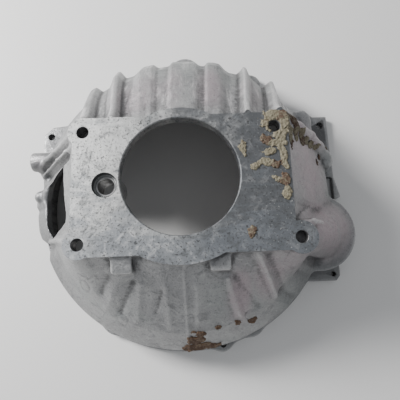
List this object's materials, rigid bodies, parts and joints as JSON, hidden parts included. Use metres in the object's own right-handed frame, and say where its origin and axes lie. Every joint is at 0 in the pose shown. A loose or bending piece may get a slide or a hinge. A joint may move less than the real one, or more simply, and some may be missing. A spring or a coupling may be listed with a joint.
{
  "type": "clutch bell housing",
  "caption": "Flared cast clutch housing with a flat bored gearbox face, fluted upper wall, round lower bowl, side fork window, starter nose and engine flange with ears.",
  "frame": {"origin": "centre of the footprint on the engine flange's mating plane", "axes": "+Z out of the gearbox face along the input shaft, +Y towards the fluted upper wall, -X towards the fork window"},
  "size_m": [0.4264, 0.4236, 0.16],
  "materials": {
    "cast_aluminium": "as-cast, dull, weathered",
    "machined_face": "machined and oxidised, mottled",
    "bare_steel": "turned",
    "dried_sealant": "lumpy tan and brown crust"
  },
  "bodies": {
    "root": {"gearbox_face_plate": "machined_face", "shaft_boss": "cast_aluminium", "linkage_boss": "cast_aluminium", "starter_nose": "cast_aluminium", "right_slope_wall": "cast_aluminium", "upper_right_wall": "cast_aluminium", "fluted_wall_right": "cast_aluminium", "fluted_wall_centre": "cast_aluminium", "fluted_wall_left": "cast_aluminium", "upper_left_wall": "cast_aluminium", "fork_window_wall": "cast_aluminium", "lower_bowl_far_left": "cast_aluminium", "lower_bowl_left": "cast_aluminium", "lower_bowl_right": "cast_aluminium", "lower_bowl_far_right": "cast_aluminium", "engine_flange_top": "cast_aluminium", "engine_flange_left": "cast_aluminium", "engine_flange_bottom": "cast_aluminium", "engine_flange_right": "cast_aluminium", "flange_ear_upper_left": "cast_aluminium", "flange_ear_upper_right": "cast_aluminium", "flange_ear_lower_right": "cast_aluminium", "shaft_sleeve": "bare_steel", "dowel_ring_left": "bare_steel", "dowel_ring_right": "bare_steel"}
  },
  "joints": []
}
